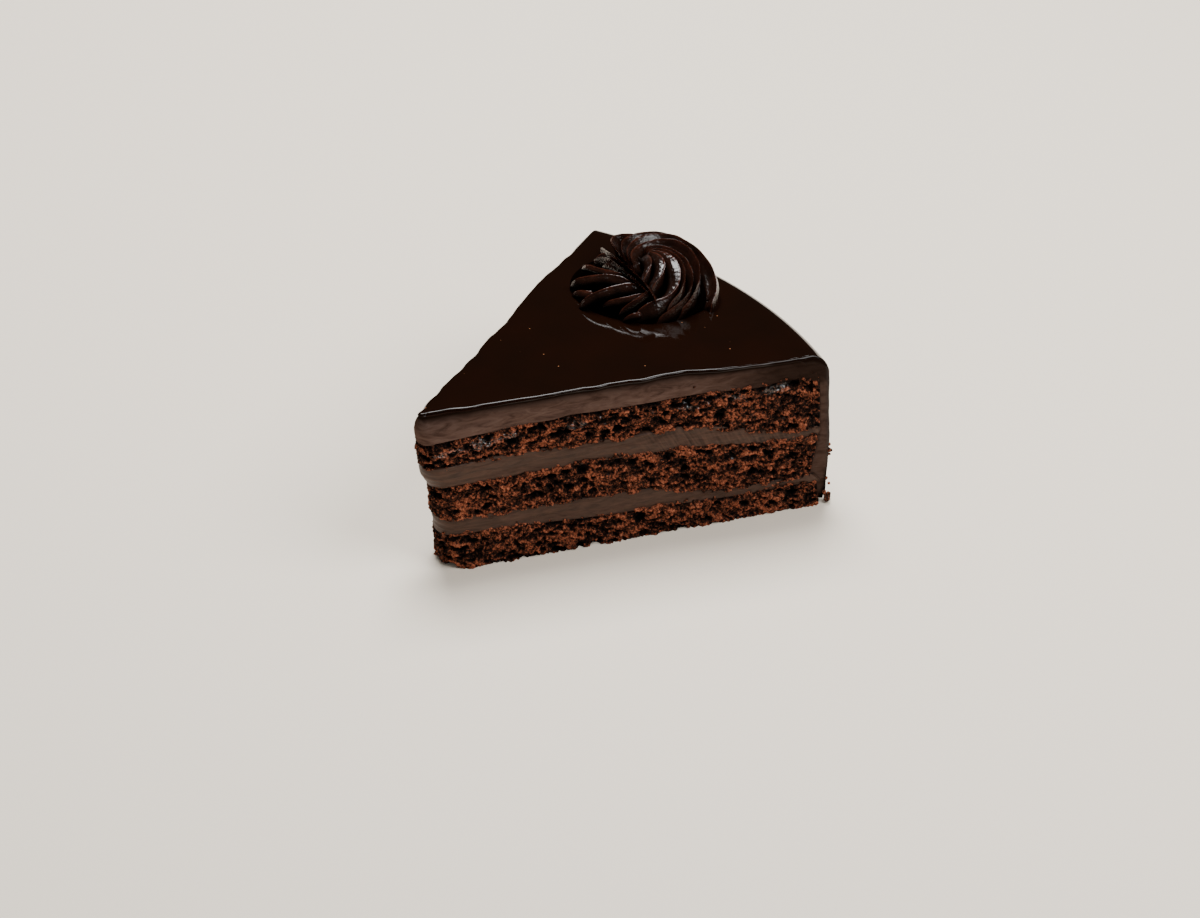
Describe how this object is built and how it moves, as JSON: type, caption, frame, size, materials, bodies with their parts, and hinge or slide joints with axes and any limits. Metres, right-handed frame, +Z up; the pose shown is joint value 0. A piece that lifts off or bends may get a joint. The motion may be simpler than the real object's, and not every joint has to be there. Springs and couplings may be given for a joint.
{
  "type": "slice of chocolate cake",
  "caption": "Wedge of layered chocolate cake: dark sponge with chocolate filling between the layers, a glossy ganache coat over the top and outer wall, and a piped rosette near the rim.",
  "frame": {"origin": "middle of the bounding box in plan, on the flat underside that the slice stands on", "axes": "+Z up; +X from the tip of the wedge to the round outer wall; the near cut face, seen from the front, faces -Y"},
  "size_m": [0.0974, 0.088, 0.0526],
  "materials": {
    "sponge": "open dark chocolate crumb, matte and slightly moist",
    "filling": "smooth chocolate filling, satin where the knife smeared it",
    "ganache": "set dark ganache, glossy on top and satin where it is cut"
  },
  "bodies": {
    "root": {"sponge_bottom": "sponge", "filling_lower": "filling", "sponge_middle": "sponge", "filling_upper": "filling", "sponge_top": "sponge", "ganache_coat": "ganache", "rosette": "ganache"}
  },
  "joints": []
}
